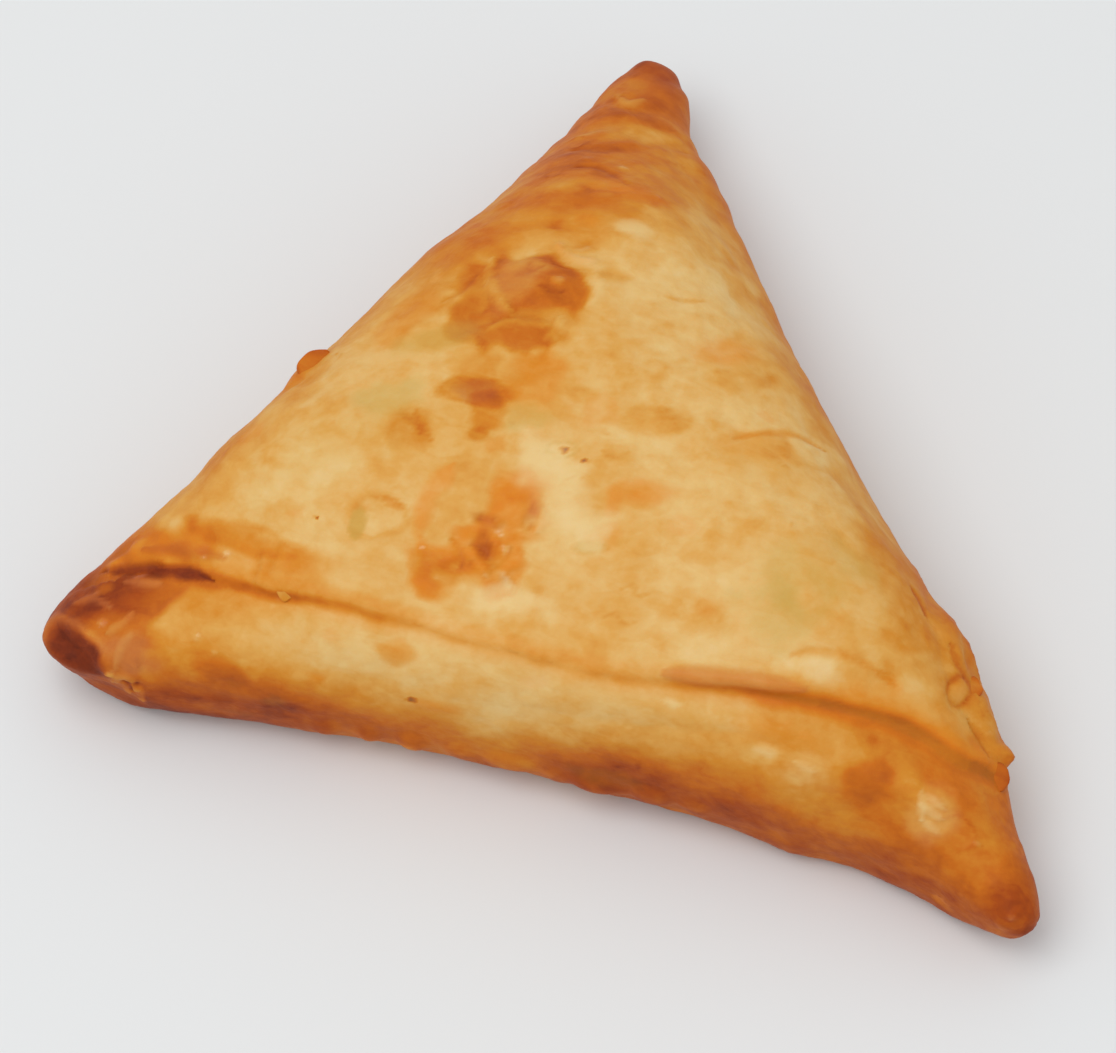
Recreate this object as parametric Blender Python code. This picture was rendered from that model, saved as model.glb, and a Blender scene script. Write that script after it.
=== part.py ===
"""A fried samosa: a strip of thin pastry folded over and over into a filled triangle.

It is one closed solid, made as a skin of rings. Every ring goes once round the triangle through the
same three corners. The rings start at the crown, go out over the top sheet to its edge, down the
sides to the rim, which is where the samosa is widest, and under it to the flat sole. Along the front
the edge of the top sheet is free: it is the seam, and the fold inside it shows below it as a roll.

Units are metres, +Z is up. X runs along the rolled front side and +Y points to the back corner. The
origin is on the surface that the samosa lies on, under the middle of its box.
"""

import math

import bmesh
import bpy
import numpy as np
from mathutils import Vector, noise

MM = 0.001

# Three rings in plan, in millimetres: each has a back, a left and a right corner, with their radii.
RIM = (((-15.2, 44.6), 2.6), ((-50.2, -38.6), 5.4), ((52.2, -38.8), 3.2))
SHEET_EDGE = (((-15.3, 39.2), 2.4), ((-46.2, -30.8), 3.0), ((43.2, -26.2), 2.0))
SOLE = (((-13.0, 26.0), 5.0), ((-40.5, -33.5), 5.0), ((39.5, -33.8), 5.0))
CROWN = (-5.5, -9.0)

# How far each ring's sides bow outwards at a quarter, a half and three quarters of their length. The
# sides are the back left one, from the back, the front one, from the left, and the back right one.
RIM_BOWS = ((-2.4, -2.4, -2.2), (-3.2, -5.2, -5.0), (1.8, 0.2, -1.0))
SHEET_EDGE_BOWS = ((-2.2, -2.2, -1.6), (0.4, 2.0, -1.4), (1.2, 0.0, -1.0))
SOLE_BOWS = ((-0.6, -1.0, -0.6), (-2.4, -4.6, -4.2), (-0.4, -0.6, -0.4))

# Heights in millimetres above the surface that it lies on.
CROWN_HEIGHT = 28.6
RIM_HEIGHTS = (6.4, 7.4, 6.6)  # at the back, left and right corners
RIM_HEIGHT_ALONG_SIDES = (8.4, 7.4, 8.4)  # half way along the back left, front and back right
SEAM_HEIGHT = 19.6  # half way along the front
TIP_LIFT = 1.6  # the corners' undersides are clear of the surface by this much

# How the top rises from the rim: over this distance, and with this roundness.
SHOULDER_REACH = 27.0
SHOULDER_ROUNDNESS = 1.95
FILLED_REACH = 36.0  # the filling ends this far from a corner
THIN_SHARE = 0.42  # and the height at the very corner is this share of what it would be

# The seam: the top sheet's free edge hangs over the roll.
LIP_THICKNESS = 1.1
LIP_OVERHANG = 0.7

# The filling shows through the thin pastry as soft lumps.
LUMP_SIZE = 15.0
LUMP_HEIGHT = 0.55

POINTS_PER_SIDE = 22
POINTS_PER_CORNER = 9
TOP_RINGS, SIDE_RINGS, UNDER_RINGS = 10, 9, 7


def eased(low, high, value):
    """0 at low, 1 at high, and smooth between them."""
    t = min(max((value - low) / (high - low), 0.0), 1.0)
    return t * t * (3 - 2 * t)


def outline(corners, bows):
    """The points of a triangle with round corners and bowed sides, counterclockwise from above."""
    tips = [Vector(tip) for tip, _ in corners]
    radii = [radius for _, radius in corners]
    middles = []
    for i, tip in enumerate(tips):
        inward = (tips[i - 1] - tip).normalized() + (tips[(i + 1) % 3] - tip).normalized()
        middles.append(tip + inward.normalized() * radii[i])
    outward = []
    for i in range(3):
        along = middles[(i + 1) % 3] - middles[i]
        lean = (radii[i] - radii[(i + 1) % 3]) / along.length
        along.normalize()
        square = Vector((along.y, -along.x))
        outward.append(square * math.sqrt(1 - lean * lean) + along * lean)
    points = []
    for i in range(3):
        last, this = outward[i - 1], outward[i]
        sweep = last.angle(this)
        for step in range(POINTS_PER_CORNER):
            turn = sweep * step / (POINTS_PER_CORNER - 1)
            across = last * math.sin(sweep - turn) + this * math.sin(turn)
            points.append(middles[i] + across / math.sin(sweep) * radii[i])
        start = middles[i] + this * radii[i]
        end = middles[(i + 1) % 3] + this * radii[(i + 1) % 3]
        for step in range(1, POINTS_PER_SIDE + 1):
            share = step / (POINTS_PER_SIDE + 1)
            share -= 0.10 * math.sin(2 * math.pi * share)
            points.append(start.lerp(end, share) + this * bow_at(bows[i], share))
    return points


def bow_at(bows, share):
    """How far a side bows outwards at a share of its length: a smooth curve through its bows."""
    knots = [0.0, *bows, 0.0]
    i = min(int(share * 4), 3)
    t = share * 4 - i
    before = knots[i - 1] if i > 0 else -knots[1]
    after = knots[i + 2] if i < 3 else -knots[3]
    start_slope, end_slope = (knots[i + 1] - before) / 2, (after - knots[i]) / 2
    start = (1 + 2 * t) * (1 - t) ** 2 * knots[i] + t * (1 - t) ** 2 * start_slope
    return start + t * t * (3 - 2 * t) * knots[i + 1] + t * t * (t - 1) * end_slope


def ring_values(at_corners, along_sides):
    """A value for each point of a ring that goes smoothly from corner to corner through the sides."""
    values = []
    for i in range(3):
        values += [at_corners[i]] * POINTS_PER_CORNER
        for step in range(1, POINTS_PER_SIDE + 1):
            share = step / (POINTS_PER_SIDE + 1)
            straight = at_corners[i] + (at_corners[(i + 1) % 3] - at_corners[i]) * eased(0, 1, share)
            rise = along_sides[i] - (at_corners[i] + at_corners[(i + 1) % 3]) / 2
            values.append(straight + rise * math.sin(math.pi * share) ** 1.2)
    return values


RIM_POINTS = outline(RIM, RIM_BOWS)
EDGE_POINTS = outline(SHEET_EDGE, SHEET_EDGE_BOWS)
SOLE_POINTS = outline(SOLE, SOLE_BOWS)
RIM_HEIGHT = ring_values(RIM_HEIGHTS, RIM_HEIGHT_ALONG_SIDES)
AROUND = len(RIM_POINTS)
LEFT_START = POINTS_PER_CORNER + POINTS_PER_SIDE
RIGHT_START = 2 * LEFT_START
HALF_CORNER = POINTS_PER_CORNER // 2
BACK_LEFT_SIDE = RIM_POINTS[HALF_CORNER:LEFT_START + HALF_CORNER + 1]
BACK_RIGHT_SIDE = RIM_POINTS[RIGHT_START + HALF_CORNER:] + RIM_POINTS[:HALF_CORNER + 1]


def lip_share(i):
    """1 where the sheet's edge is free and hangs over the roll, 0 where it is wrapped round a side."""
    left_middle = LEFT_START + POINTS_PER_CORNER * 0.4
    right_middle = RIGHT_START + POINTS_PER_CORNER * 0.65
    return eased(left_middle - 7, left_middle, i) * (1 - eased(right_middle, right_middle + 8, i))


def distance_inside(place, start, end):
    """How far a place is inside of the line from start to end, which goes counterclockwise."""
    along = (end - start).normalized()
    return (place - start).dot(Vector((-along.y, along.x)))


def distance_to(place, side):
    """How far a place is from the nearest point of a side, which is a run of points."""
    nearest = 1000.0
    for start, end in zip(side, side[1:]):
        along = end - start
        share = (place - start).dot(along) / along.length_squared
        share = min(max(share, 0.0), 1.0)
        nearest = min(nearest, (place - start.lerp(end, share)).length)
    return nearest


def shoulder(distance):
    """How much of the full height is reached at a distance inside of an edge."""
    share = min(max(distance / SHOULDER_REACH, 0.0), 1.0)
    return (1 - (1 - share) ** SHOULDER_ROUNDNESS) ** (1 / SHOULDER_ROUNDNESS)


def top_height(place, rim_height):
    """The height of the top sheet at a place in plan."""
    full = CROWN_HEIGHT - rim_height
    seam_share = (SEAM_HEIGHT - rim_height) / full
    seam_left, seam_right = Vector(SHEET_EDGE[1][0]), Vector(SHEET_EDGE[2][0])
    behind_seam = distance_inside(place, seam_left, seam_right) / SHOULDER_REACH
    still_to_rise = (1 - min(max(behind_seam, 0.0), 1.0)) ** 2
    rises = [
        shoulder(distance_to(place, BACK_LEFT_SIDE)),
        shoulder(distance_to(place, BACK_RIGHT_SIDE)),
        1 - (1 - seam_share) * still_to_rise,
    ]
    rise = (sum(max(share, 0.001) ** -5 for share in rises) / 2.0) ** (-1 / 5)
    nearest = min((place - Vector(tip)).length for tip, _ in RIM)
    filled = THIN_SHARE + (1 - THIN_SHARE) * eased(0, FILLED_REACH, nearest)
    return rim_height + full * min(rise, 1.0) * filled


def lumps(place):
    """The filling's lumps, which fade out towards the sole."""
    lump = noise.noise(place / LUMP_SIZE) + 0.4 * noise.noise(place / LUMP_SIZE * 2.1)
    return place.z + LUMP_HEIGHT * lump * eased(3, 14, place.z)


def ring_over_top(share):
    """A ring of the top sheet: share is 0 at the crown and 1 at the sheet's edge."""
    middle = Vector(CROWN)
    ring = []
    for i in range(AROUND):
        place = middle.lerp(EDGE_POINTS[i], share)
        rim_height = RIM_HEIGHT[i] * share + RIM_HEIGHT_ALONG_SIDES[0] * (1 - share)
        ring.append(Vector((place.x, place.y, top_height(place, rim_height))))
    return ring


def edge_height(i):
    """The height of the top sheet's edge."""
    return top_height(EDGE_POINTS[i], RIM_HEIGHT[i])


def ring_of_lip(out, down):
    """A ring that follows the free edge, moved out and down from it; on the back sides it stays put."""
    ring = []
    for i in range(AROUND):
        free = lip_share(i)
        edge, rim = EDGE_POINTS[i], RIM_POINTS[i]
        outward = (rim - edge).normalized()
        place = edge + outward * out * free
        wrapped = edge.lerp(rim, down * 0.10)
        place = place * free + wrapped * (1 - free)
        height = (edge_height(i) - down) * free + top_height(wrapped, RIM_HEIGHT[i]) * (1 - free)
        ring.append(Vector((place.x, place.y, height)))
    return ring


def ring_down_side(share):
    """A ring between the sheet's edge, at 0, and the rim, at 1: the roll in front, the sides behind."""
    turn = share * math.pi / 2
    ring = []
    for i in range(AROUND):
        free = lip_share(i)
        edge, rim = EDGE_POINTS[i], RIM_POINTS[i]
        root = edge - (rim - edge).normalized() * LIP_OVERHANG
        on_roll = root.lerp(rim, math.sin(turn) ** 0.9)
        root_height = edge_height(i) - LIP_THICKNESS
        roll_height = RIM_HEIGHT[i] + (root_height - RIM_HEIGHT[i]) * math.cos(turn) ** 0.9
        on_side = edge.lerp(rim, 0.12 + 0.88 * math.sin(turn) ** 1.2)
        side_height = top_height(on_side, RIM_HEIGHT[i])
        place = on_roll * free + on_side * (1 - free)
        ring.append(Vector((place.x, place.y, roll_height * free + side_height * (1 - free))))
    return ring


def ring_under(share):
    """A ring between the rim, at 0, and the sole, at 1."""
    turn = share * math.pi / 2
    ring = []
    for i in range(AROUND):
        place = RIM_POINTS[i].lerp(SOLE_POINTS[i], 1 - math.cos(turn) ** 0.85)
        low = TIP_LIFT * eased(7, 16, (place - Vector(SOLE_POINTS[i])).length)
        height = low + (RIM_HEIGHT[i] - low) * (1 - math.sin(turn) ** 0.85)
        ring.append(Vector((place.x, place.y, height)))
    return ring


def all_rings():
    """The rings from the one next to the crown to the outline of the sole."""
    rings = []
    for step in range(1, TOP_RINGS + 1):
        rings.append(ring_over_top(math.sin(math.pi / 2 * step / TOP_RINGS) ** 0.9))
    rings.append(ring_of_lip(LIP_OVERHANG * 0.4, LIP_THICKNESS * 0.35))
    rings.append(ring_of_lip(0.0, LIP_THICKNESS * 0.9))
    rings += [ring_down_side(step / SIDE_RINGS) for step in range(SIDE_RINGS + 1)]
    rings += [ring_under(step / UNDER_RINGS) for step in range(1, UNDER_RINGS + 1)]
    return [[Vector((place.x, place.y, lumps(place))) for place in ring] for ring in rings]


def extruded(shape, row):
    """A new row of points extruded from a row of points, each where the one it comes from is."""
    edges = [shape.edges.get((row[i - 1], row[i])) for i in range(len(row))]
    made = bmesh.ops.extrude_edge_only(shape, edges=edges)["geom"]
    by_place = {tuple(item.co): item for item in made if isinstance(item, bmesh.types.BMVert)}
    return [by_place[tuple(vertex.co)] for vertex in row]


def skin(rings):
    """One closed skin: a capped circle at the crown, extruded to ring after ring, and a flat sole."""
    shape = bmesh.new()
    bmesh.ops.create_circle(shape, cap_ends=True, cap_tris=True, segments=AROUND, radius=1)
    crown = min(shape.verts, key=lambda vertex: vertex.co.length)
    row = sorted(set(shape.verts) - {crown}, key=lambda vertex: math.atan2(vertex.co.y, vertex.co.x))
    middle = Vector(CROWN)
    crown.co = (*CROWN, top_height(middle, RIM_HEIGHT_ALONG_SIDES[0]))
    crown.co.z = lumps(crown.co)
    for number, ring in enumerate(rings):
        if number:
            row = extruded(shape, row)
        for vertex, place in zip(row, ring):
            vertex.co = place
    bmesh.ops.contextual_create(shape, geom=row)
    bmesh.ops.triangulate(shape, faces=shape.faces)
    bmesh.ops.recalc_face_normals(shape, faces=shape.faces)
    return shape


def centred(shape):
    """Moves the shape so that its box stands on z = 0 around the Z axis, and turns it to metres."""
    places = np.array([vertex.co for vertex in shape.verts])
    low, high = places.min(axis=0), places.max(axis=0)
    for vertex in shape.verts:
        vertex.co -= Vector(((low[0] + high[0]) / 2, (low[1] + high[1]) / 2, low[2]))
        vertex.co *= MM


def fried_pastry():
    """Golden fried pastry with a dull oily shine."""
    material = bpy.data.materials.new("fried_pastry")
    material.use_nodes = True
    surface = material.node_tree.nodes["Principled BSDF"]
    surface.inputs["Base Color"].default_value = (0.66, 0.33, 0.09, 1)
    surface.inputs["Roughness"].default_value = 0.42
    surface.inputs["Metallic"].default_value = 0.0
    return material


for leftover in list(bpy.data.objects):
    bpy.data.objects.remove(leftover)

body = skin(all_rings())
centred(body)
mesh = bpy.data.meshes.new("samosa")
body.to_mesh(mesh)
body.free()
mesh.materials.append(fried_pastry())
mesh.shade_smooth()
samosa = bpy.data.objects.new("samosa", mesh)
bpy.context.scene.collection.objects.link(samosa)
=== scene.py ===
"""The looks of a fried samosa, made over the solid that holds its shape and size.

The folded pastry is one closed skin with its blisters, folds and browning, and small loose flakes
stand up from it where it was pinched. Lengths in the sections are in millimetres, in the frame of
the solid: X runs along the rolled front side, +Y points to the back corner and Z is up. The meshes
are turned to metres when they are done.
"""

import math

import bmesh
import bpy
import numpy as np
from mathutils import Matrix, Vector, noise
from mathutils.bvhtree import BVHTree


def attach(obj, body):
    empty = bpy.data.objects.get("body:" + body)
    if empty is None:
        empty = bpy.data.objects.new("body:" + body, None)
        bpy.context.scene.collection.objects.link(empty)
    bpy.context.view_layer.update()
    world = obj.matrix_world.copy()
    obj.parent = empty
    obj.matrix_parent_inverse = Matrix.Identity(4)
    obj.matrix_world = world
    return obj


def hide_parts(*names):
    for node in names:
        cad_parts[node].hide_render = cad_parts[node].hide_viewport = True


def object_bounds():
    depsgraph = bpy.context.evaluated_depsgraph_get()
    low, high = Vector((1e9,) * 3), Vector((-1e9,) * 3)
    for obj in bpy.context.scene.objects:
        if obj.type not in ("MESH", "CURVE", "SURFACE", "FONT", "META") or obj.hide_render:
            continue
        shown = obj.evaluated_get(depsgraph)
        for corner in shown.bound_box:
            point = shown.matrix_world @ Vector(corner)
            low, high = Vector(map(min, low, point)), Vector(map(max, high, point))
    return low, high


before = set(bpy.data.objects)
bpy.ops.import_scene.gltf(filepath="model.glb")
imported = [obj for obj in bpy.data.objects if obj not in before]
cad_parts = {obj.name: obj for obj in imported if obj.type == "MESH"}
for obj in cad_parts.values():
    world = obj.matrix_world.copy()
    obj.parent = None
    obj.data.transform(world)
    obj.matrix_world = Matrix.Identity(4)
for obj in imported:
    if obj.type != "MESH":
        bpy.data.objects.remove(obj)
cad_low, cad_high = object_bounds()

# --- The folded pastry -------------------------------------------------------------------------
# A strip of thin wheat pastry, folded over and over round its filling into a triangle and deep
# fried. The skin swells over the filling, blisters, and browns first where it is thin or stands up:
# at the three corners, along the folds and on the blisters. On the steep sides, along the folds and
# under the roll some shade is painted in with the browning, and a few highlights are painted on.

MM = 0.001
SKIN_GRAIN = 0.415  # the length of the skin mesh's edges
BACK_TIP = Vector((-15.0, 40.5, 9.0))
LEFT_NOSE = Vector((-49.0, -38.0, 9.0))
RIGHT_TIP = Vector((50.5, -39.0, 7.5))


def finished(piece):
    """The piece with its modifiers made real."""
    graph = bpy.context.evaluated_depsgraph_get()
    made = bpy.data.meshes.new_from_object(piece.evaluated_get(graph))
    piece.modifiers.clear()
    piece.data = made
    return piece


def places_of(mesh):
    """The mesh's vertex places as an array of rows."""
    rows = np.empty(len(mesh.vertices) * 3, np.float32)
    mesh.vertices.foreach_get("co", rows)
    return rows.reshape(-1, 3).astype(float)


def normals_of(mesh):
    """The directions that the mesh's surface faces at its vertices."""
    rows = np.empty(len(mesh.vertices) * 3, np.float32)
    mesh.vertex_normals.foreach_get("vector", rows)
    return rows.reshape(-1, 3).astype(float)


def eased(low, high, values):
    """0 at low, 1 at high, and smooth between them."""
    share = np.clip((values - low) / (high - low), 0.0, 1.0)
    return share * share * (3 - 2 * share)


shell = bmesh.new()
shell.from_mesh(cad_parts["samosa"].data)
bmesh.ops.remove_doubles(shell, verts=shell.verts, dist=0.01 * MM)
bmesh.ops.join_triangles(
    shell, faces=shell.faces, angle_face_threshold=0.7, angle_shape_threshold=1.2
)
bmesh.ops.scale(shell, vec=(1 / MM, 1 / MM, 1 / MM), verts=shell.verts)
skin_mesh = bpy.data.meshes.new("folded_pastry")
shell.to_mesh(skin_mesh)
shell.free()
pastry = bpy.data.objects.new("folded_pastry", skin_mesh)
bpy.context.scene.collection.objects.link(pastry)
rounding = pastry.modifiers.new("rounding", "SUBSURF")
rounding.levels = rounding.render_levels = 2
even_skin = pastry.modifiers.new("even_skin", "REMESH")
even_skin.mode = "VOXEL"
even_skin.voxel_size = SKIN_GRAIN
even_skin.use_smooth_shade = True
finished(pastry)

skin = pastry.data
edges = np.empty(len(skin.edges) * 2, np.int32)
skin.edges.foreach_get("vertices", edges)
edge_starts, edge_ends = edges.reshape(-1, 2).T
neighbours = np.bincount(edges, minlength=len(skin.vertices))


def relaxed(values, rounds):
    """Values at the skin's vertices, each eased round by round towards its neighbours' mean."""
    values = np.array(values, float).reshape(len(values), -1)
    for _ in range(rounds):
        for axis in range(values.shape[1]):
            column = values[:, axis]
            total = np.bincount(edge_starts, column[edge_ends], len(column))
            total += np.bincount(edge_ends, column[edge_starts], len(column))
            values[:, axis] = (column + total / neighbours) / 2
    return values


even = relaxed(places_of(skin), 4)
faces = [face.vertices[:] for face in skin.polygons]
surface = BVHTree.FromPolygons(even.tolist(), faces)


def on_top(x, y):
    """The place on the pastry's top at this point of the plan."""
    return surface.ray_cast(Vector((x, y, 60.0)), Vector((0.0, 0.0, -1.0)))[0]


def on_skin(place):
    """The place on the pastry for a place near it, or for a point of the plan."""
    return on_top(*place) if len(place) == 2 else surface.find_nearest(Vector(place))[0]


# The seam is where the top drops from the sheet's free edge to the roll, near this line in plan.
SEAM_NEAR = ((-45.0, -32.6), (-28.0, -33.3), (-6.0, -33.8), (12.0, -32.0), (22.0, -29.2), (43.0, -27.8))
SEAM_FROM, SEAM_TO, SEAM_STEP = -44.0, 43.5, 0.7
seam = []
for x in np.arange(SEAM_FROM, SEAM_TO, SEAM_STEP):
    near = np.interp(x, *zip(*SEAM_NEAR))
    tops = [on_top(x, y) for y in np.arange(near - 1.6, near + 1.6, 0.1)]
    drops = [after.z - before.z for before, after in zip(tops, tops[1:])]
    seam.append(tops[int(np.argmax(drops)) + 1])
seam = np.array([tuple(place) for place in seam])
for _ in range(3):
    seam[1:-1] = (seam[:-2] + 2 * seam[1:-1] + seam[2:]) / 4


def to_line(points, places):
    """How far places are from a line of points, on which side in plan, and where along it."""
    points = np.asarray(points, float)
    nearest = np.full(len(places), np.inf)
    side = np.zeros(len(places))
    along = np.zeros(len(places))
    for number, (start, end) in enumerate(zip(points, points[1:])):
        way = end - start
        share = np.clip((places - start) @ way / (way @ way), 0, 1)
        off = places - start - share[:, None] * way
        far = np.sqrt((off * off).sum(1))
        closer = far < nearest
        nearest[closer] = far[closer]
        side[closer] = (way[0] * off[:, 1] - way[1] * off[:, 0])[closer]
        along[closer] = (number + share)[closer]
    return nearest, np.sign(side), along / (len(points) - 1)


far, side, seam_share = to_line(seam, even)
behind_seam = far * side
CRISP_X = (-40, -34, -28, -16, 4, 11, 16, 22, 30, 44)
CRISPNESS = (0.0, 0.7, 0.7, 0.4, 0.2, 0.4, 0.8, 0.8, 0.5, 0.6)
crisp = np.interp(seam[:, 0], CRISP_X, CRISPNESS)
crisp = np.interp(seam_share * (len(seam) - 1), np.arange(len(seam)), crisp)
seam_near = crisp * (1 - eased(1.5, 6.0, far))
soft = relaxed(even, 60)
P = soft + (even - soft) * seam_near[:, None]


def dome(reach):
    """A round swelling: 1 in the middle and 0 at the edge."""
    return np.clip(1 - reach * reach, 0, 1) ** 1.3


# The seam is not straight: its ends lie further back than on the plain solid, its tuck further on.
for places, off_seam in ((P, behind_seam), (seam, np.zeros(len(seam)))):
    bowed = 1.3 * dome((places[:, 0] + 37.0) / 9.0) + 1.1 * dome((places[:, 0] - 36.0) / 11.0)
    bowed -= 1.6 * dome((places[:, 0] - 15.0) / 18.0)
    places[:, 1] += bowed * dome(off_seam / 6.0)

# The roll thins towards its right end.
P[:, 1] += 1.9 * dome((P[:, 0] - 38.0) / 13.0) * eased(-33.0, -38.5, P[:, 1])
skin.vertices.foreach_set("co", P.astype(np.float32).ravel())
skin.update()
N = relaxed(normals_of(skin), 3)
N /= np.linalg.norm(N, axis=1)[:, None]
surface = BVHTree.FromPolygons(P.tolist(), faces)
far, side, seam_share = to_line(seam, P)
behind_seam = far * side


def mottled(size, depth=3, shift=0.0):
    """A random field over the skin with blotches of about this size: mean 0, spread 1."""
    start = Vector((shift, -shift, 2.3 * shift))
    drawn = [noise.fractal(Vector(place) / size + start, 1.0, 2.0, depth) for place in P]
    drawn = np.array(drawn)
    return (drawn - drawn.mean()) / drawn.std()


BROAD = mottled(12.0, 2)
COARSE = mottled(5.0, 2, 3.1)
MIDDLE = mottled(2.2, 2, 5.7)
FINE = mottled(0.9, 2, 9.2)
from_back_tip = np.linalg.norm(P - np.array(BACK_TIP), axis=1)
from_left_nose = np.linalg.norm(P - np.array(LEFT_NOSE), axis=1)
from_right_tip = np.linalg.norm(P - np.array(RIGHT_TIP), axis=1)
facing_up = N[:, 2]
seam_from_front = P[:, 1] - np.interp(P[:, 0], seam[:, 0], seam[:, 1])
on_roll = eased(0.4, -0.4, seam_from_front / (1 + 0.9 * far)) * eased(-22, -26, P[:, 1])


def inside_of(start, end):
    """How far the skin is inside of a side's line in plan, which goes counterclockwise."""
    way = (end - start).xy.normalized()
    return (P[:, 1] - start.y) * way.x - (P[:, 0] - start.x) * way.y


def most_of(*shares):
    """The largest of some shares, rounded where they meet."""
    return sum(np.clip(share, 0, None) ** 4 for share in shares) ** 0.25


from_back_left = inside_of(BACK_TIP, LEFT_NOSE)
from_back_right = inside_of(RIGHT_TIP, BACK_TIP)

# What the sculpting, the frying and the painted shade and highlights add up: heights in mm, and
# shares of each tint.
rise = 0.12 * BROAD + 0.06 * COARSE + 0.022 * MIDDLE + 0.010 * FINE
browning_and_shading = 0.27 + 0.036 * BROAD + 0.018 * COARSE + 0.016 * MIDDLE + 0.014 * FINE
oily = np.zeros(len(P))
herby = np.zeros(len(P))
floury_and_sheen = np.zeros(len(P))
scorched_and_sheen = np.zeros(len(P))
glistening = np.zeros(len(P))


def spot(place, length, width=None, turn=0.0, ragged=1.0):
    """How far the skin is from a spot's middle: 1 at its edge, which wanders by ragged mm."""
    middle = on_skin(place)
    facing = Vector(surface.find_nearest(middle)[1])
    along = Vector((math.cos(math.radians(turn)), math.sin(math.radians(turn)), 0.0))
    along = (along - facing * along.dot(facing)).normalized()
    across = facing.cross(along)
    half_length, half_width = length / 2, (width or length) / 2
    size = max(half_length, half_width)
    off = P - np.array(middle)
    near = np.abs(off).max(axis=1) < 2.2 * size + 1
    off = off[near]
    parts = (off @ np.array(along) / half_length, off @ np.array(across) / half_width)
    depth = off @ np.array(facing) / size
    wander = min(size / 5, 1.0) * 0.9 * COARSE[near] + 0.4 * MIDDLE[near] + 0.1 * FINE[near]
    reach = np.full(len(P), 9.0)
    reach[near] = np.sqrt(parts[0] ** 2 + parts[1] ** 2 + depth ** 2) + ragged * wander / size
    return reach


def line(points, width, ragged=0.25):
    """How far the skin is from a smooth line on it that thins out to its ends: 1 at its edge."""
    places = [Vector(on_skin(place)) for place in points]
    places = [2 * places[0] - places[1], *places, 2 * places[-1] - places[-2]]
    smooth = []
    for before, start, end, after in zip(places, places[1:], places[2:], places[3:]):
        for share in (0.0, 0.25, 0.5, 0.75):
            t, u = share, share * share
            smooth.append(
                start
                + (end - before) * (t / 2)
                + (2 * before - 5 * start + 4 * end - after) * (u / 2)
                + (3 * start - before - 3 * end + after) * (t * u / 2)
            )
    smooth.append(places[-2])
    far, _, along = to_line([tuple(place) for place in smooth], P)
    half_width = width / 2 * (0.25 + 0.75 * np.sin(np.pi * along) ** 0.6)
    return far / half_width + ragged * (0.4 * MIDDLE + 0.2 * COARSE)


def within(reach, blur=0.35):
    """1 inside of a mark, 0 outside, and blurred at its edge."""
    return 1 - eased(1 - blur, 1 + blur, reach)


def rim(reach, at=0.85, width=0.16):
    """A low wall round a spot."""
    return np.exp(-(((reach - at) / width) ** 2))


# The brown share is browning; at a few marks it paints shade, and where negative, on some ridges and bumps,
# highlights.
def mark(share, height=0.0, brown_and_shading=0.0, oil=0.0, herb=0.0, flour_and_sheen=0.0, scorch_and_sheen=0.0, wet=0.0):
    """Adds heights and tints to the skin by the share that a mark has at each of its points."""
    for layer, amount in (
        (rise, height), (browning_and_shading, brown_and_shading), (oily, oil), (herby, herb), (floury_and_sheen, flour_and_sheen),
        (scorched_and_sheen, scorch_and_sheen), (glistening, wet),
    ):
        if amount:
            layer += amount * share


def toned_to(share, tone, part=1.0):
    """Moves the tone towards a given tone where a mark is: browning, and in places painted shade."""
    browning_and_shading[:] += part * share * (tone - browning_and_shading)


# Browning by the lie of the pastry: the corners, the steep sides, the roll's lower half. The
# darkening of the steep sides, of the band on the right edge and of the roll's lower half is partly
# browning and partly painted shade.
wander = 1.6 * COARSE + 0.8 * MIDDLE + 0.2 * FINE
x_of, y_of = P[:, 0], P[:, 1]
back_zone = 0.30 * (1 - eased(20.0, 36.0, from_back_tip + 1.2 * wander))
very_tip = 0.40 * (1 - eased(1.0, 11.0, from_back_tip + wander))
left_band = 0.24 * (1 - eased(6.0, 15.0, from_back_left + wander)) * eased(-16.0, 4.0, y_of)
left_rim = 0.20 * (1 - eased(1.0, 7.0, from_back_left + wander))
# The band on the right edge: partly browning, partly painted shade.
right_band = 0.20 * (1 - eased(0.5, 5.0, from_back_right + wander))
right_zone = 0.28 * (1 - eased(8.0, 30.0, from_right_tip + 1.5 * wander))
right_end = 0.30 * (1 - eased(0.0, 11.0, from_right_tip + 0.6 * wander))
lower_left = 0.24 * (1 - eased(1.0, 9.0, from_back_left + wander)) * eased(-12.0, -24.0, y_of)
# The steep sides are darker: partly browning, partly painted shade.
steep = 0.28 * (1 - on_roll) * eased(0.75, 0.20, facing_up + 0.04 * COARSE)
roll_top = -0.05 + 0.20 * eased(4.0, 30.0, x_of) + 0.06 * eased(-6.0, -14.0, x_of)
roll_top = (roll_top + 0.09 * eased(-22.0, -28.0, x_of)) * on_roll
# The roll's lower half darkens below these heights: partly browning, partly painted shade.
LOW_ROLL_X = (-38, -33, -28, -18, -8, -4, 4, 12, 18, 26, 40)
LOW_ROLL_Z = (10.5, 12.6, 12.8, 12.7, 10.9, 10.2, 12.3, 13.6, 13.3, 11.8, 10.6)
LOW_ROLL_DARKEST = (0.46, 0.46, 0.46, 0.48, 0.49, 0.49, 0.51, 0.54, 0.42, 0.31, 0.35)
below = P[:, 2] - np.interp(x_of, LOW_ROLL_X, LOW_ROLL_Z) + 0.6 * COARSE + 0.3 * MIDDLE
low_roll = np.interp(x_of, LOW_ROLL_X, LOW_ROLL_DARKEST) * eased(4.6, -5.4, below) * on_roll
browning_and_shading += most_of(
    back_zone, very_tip, left_band, left_rim, lower_left, right_band, right_zone, right_end, steep,
    low_roll,
)
browning_and_shading += roll_top

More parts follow.
